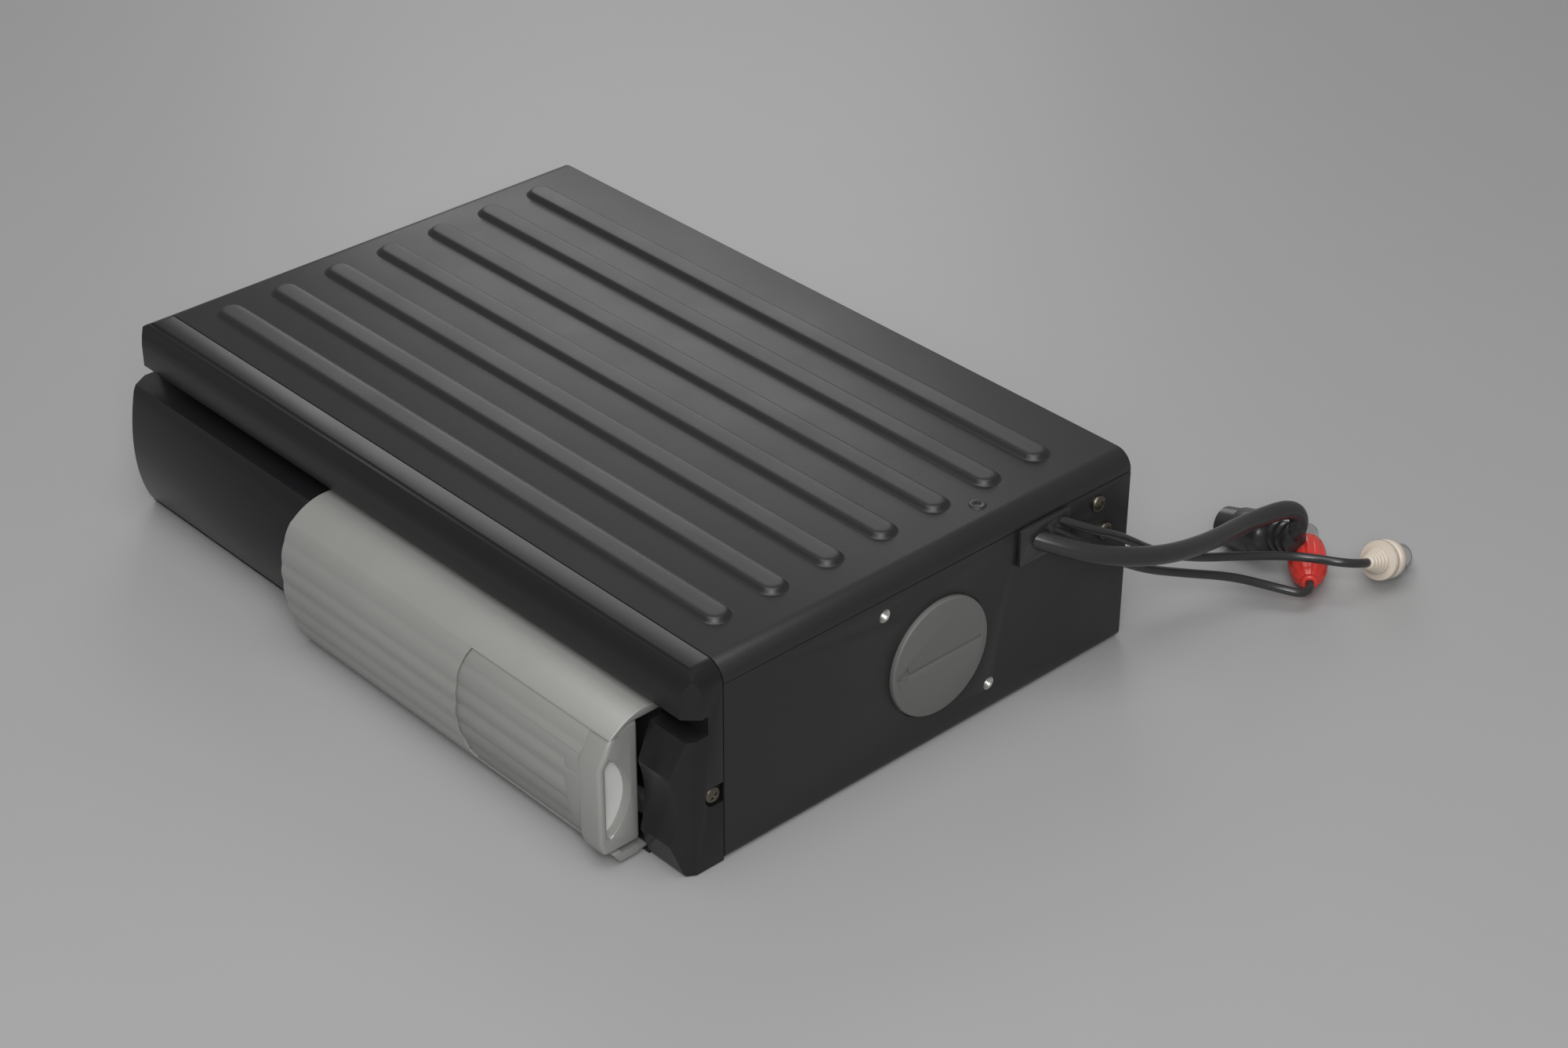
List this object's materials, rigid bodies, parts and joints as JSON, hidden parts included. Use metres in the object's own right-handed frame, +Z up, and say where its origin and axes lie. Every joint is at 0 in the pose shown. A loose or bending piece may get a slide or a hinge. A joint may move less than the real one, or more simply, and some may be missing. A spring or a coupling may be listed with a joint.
{
  "type": "car cd changer",
  "caption": "Slim boot-mounted disc changer: ribbed steel case, silver sliding door, tray magazine, lifting playing deck and a cable tail",
  "frame": {"origin": "middle of the footprint, on the surface the case stands on, cable tail not counted", "axes": "+X to the right seen from the front, -Y the front with the door, +Z up"},
  "size_m": [0.3082, 0.2791, 0.0645],
  "materials": {
    "black_steel": "satin",
    "black_moulding": "satin",
    "silver_plastic": "metallic satin",
    "dial_grey": "satin",
    "plated_steel": "plated",
    "screw_steel": "plated",
    "black_pvc": "satin",
    "damper_rubber": "matt",
    "magazine_black": "fine texture",
    "tray_grey": "satin",
    "white_plastic": "satin",
    "gear_natural": "satin",
    "ivory_pvc": "gloss",
    "red_pvc": "gloss",
    "nickel": "bright",
    "motor_can": "plated",
    "board_green": "solder mask",
    "component_black": "moulded",
    "lens_block": "moulded"
  },
  "bodies": {
    "case": {"chassis": "black_steel", "top_cover": "black_steel", "front_bezel": "black_moulding", "dial_bracket_right": "plated_steel", "dial_bracket_left": "plated_steel", "case_screws": "screw_steel", "bezel_screws": "screw_steel", "inner_frame": "plated_steel", "rubber_dampers": "damper_rubber", "gear_plate": "plated_steel", "lift_motor": "motor_can", "magazine_guide": "black_moulding", "ejector_stud": "nickel", "circuit_board": "board_green", "board_components": "component_black", "board_posts": "plated_steel", "cable_gland": "black_pvc", "main_cable": "black_pvc", "main_plug": "black_pvc", "white_cord": "black_pvc", "white_plug": "ivory_pvc", "white_plug_contact": "nickel", "red_cord": "black_pvc", "red_plug": "red_pvc", "red_plug_contact": "nickel"},
    "door": {"door_shell": "silver_plastic", "door_grip": "silver_plastic"},
    "button": {"eject_button": "dial_grey"},
    "right_dial": {"dial_right": "dial_grey"},
    "left_dial": {"dial_left": "dial_grey"},
    "magazine": {"magazine_case": "magazine_black"},
    "ejector": {"ejector_lever": "plated_steel"},
    "slider": {"lift_slider": "plated_steel"},
    "wheel": {"lift_gear": "gear_natural"},
    "pinion": {"lift_pinion": "gear_natural"},
    "deck": {"deck_plate": "plated_steel", "spindle_motor": "motor_can", "guide_rods": "nickel", "sled_motor": "motor_can", "clamp_hinge_pin": "nickel"},
    "turntable": {"turntable": "lens_block"},
    "pickup": {"optical_pickup": "lens_block"},
    "screw": {"lead_screw": "white_plastic"},
    "arm": {"clamp_arm": "plated_steel"},
    "puck": {"clamp_puck": "white_plastic"},
    "tray_1": {"tray_1": "tray_grey"},
    "tray_2": {"tray_2": "tray_grey"},
    "tray_3": {"tray_3": "tray_grey"},
    "tray_4": {"tray_4": "tray_grey"},
    "tray_5": {"tray_5": "tray_grey"},
    "tray_6": {"tray_6": "tray_grey"}
  },
  "joints": [
    {"name": "door_slide", "type": "slide", "parent": "case", "child": "door", "axis": [-1, 0, 0], "range_m": [0, 0.1312]},
    {"name": "eject_press", "type": "slide", "parent": "case", "child": "button", "axis": [0, 1, 0], "range_m": [0, 0.003]},
    {"name": "right_dial_turn", "type": "hinge", "parent": "case", "child": "right_dial", "pos_m": [0.1275, 0.0155, 0.029], "axis": [1, 0, 0], "range_deg": [0, 90]},
    {"name": "left_dial_turn", "type": "hinge", "parent": "case", "child": "left_dial", "pos_m": [-0.1275, 0.0155, 0.029], "axis": [1, 0, 0], "range_deg": [0, 90]},
    {"name": "magazine_eject", "type": "slide", "parent": "case", "child": "magazine", "axis": [0, 1, 0], "range_m": [-0.009, 0]},
    {"name": "ejector_turn", "type": "hinge", "parent": "case", "child": "ejector", "pos_m": [0.075, 0.0678, 0.006], "axis": [0, 0, -1], "range_deg": [-13, 0]},
    {"name": "deck_lift", "type": "slide", "parent": "case", "child": "deck", "axis": [0, 0, -1], "range_m": [-0.0286, 0]},
    {"name": "slider_shift", "type": "slide", "parent": "case", "child": "slider", "axis": [-1, 0, 0], "range_m": [-0.01652, 0]},
    {"name": "lift_wheel_turn", "type": "hinge", "parent": "case", "child": "wheel", "pos_m": [0.02262, -0.04248, 0.006], "axis": [0, 0, -1], "range_deg": [-169.5, 0]},
    {"name": "lift_pinion_turn", "type": "hinge", "parent": "case", "child": "pinion", "pos_m": [0.04102, -0.04248, 0.006], "axis": [0, 0, 1], "range_deg": [-610, 0]},
    {"name": "turntable_spin", "type": "hinge", "parent": "deck", "child": "turntable", "pos_m": [-0.0465, 0.0059, 0.01], "axis": [0, 0, 1], "continuous": true},
    {"name": "pickup_travel", "type": "slide", "parent": "deck", "child": "pickup", "axis": [-1, 0, 0], "range_m": [0, 0.034]},
    {"name": "lead_screw_turn", "type": "hinge", "parent": "deck", "child": "screw", "pos_m": [-0.08, 0.0359, 0.0052], "axis": [1, 0, 0], "range_deg": [0, 4081]},
    {"name": "clamp_arm_open", "type": "hinge", "parent": "deck", "child": "arm", "pos_m": [-0.1115, 0.0059, 0.0123], "axis": [0, 1, 0], "range_deg": [-7, 0]},
    {"name": "clamp_puck_spin", "type": "hinge", "parent": "arm", "child": "puck", "pos_m": [-0.0465, 0.0059, 0.013], "axis": [0, 0, 1], "continuous": true},
    {"name": "tray_1_slide", "type": "slide", "parent": "magazine", "child": "tray_1", "axis": [-1, 0, 0], "range_m": [0, 0.091]},
    {"name": "tray_2_slide", "type": "slide", "parent": "magazine", "child": "tray_2", "axis": [-1, 0, 0], "range_m": [0, 0.091]},
    {"name": "tray_3_slide", "type": "slide", "parent": "magazine", "child": "tray_3", "axis": [-1, 0, 0], "range_m": [0, 0.091]},
    {"name": "tray_4_slide", "type": "slide", "parent": "magazine", "child": "tray_4", "axis": [-1, 0, 0], "range_m": [0, 0.091]},
    {"name": "tray_5_slide", "type": "slide", "parent": "magazine", "child": "tray_5", "axis": [-1, 0, 0], "range_m": [0, 0.091]},
    {"name": "tray_6_slide", "type": "slide", "parent": "magazine", "child": "tray_6", "axis": [-1, 0, 0], "range_m": [0, 0.091]}
  ],
  "couplings": [
    {"joint": "ejector_turn", "follows": "magazine_eject", "rad_per_m": 25},
    {"joint": "slider_shift", "follows": "deck_lift", "ratio": 0.57735},
    {"joint": "lift_wheel_turn", "follows": "deck_lift", "rad_per_m": 103.1},
    {"joint": "lift_pinion_turn", "follows": "deck_lift", "rad_per_m": 371.15},
    {"joint": "lead_screw_turn", "follows": "pickup_travel", "rad_per_m": 2094.4}
  ]
}
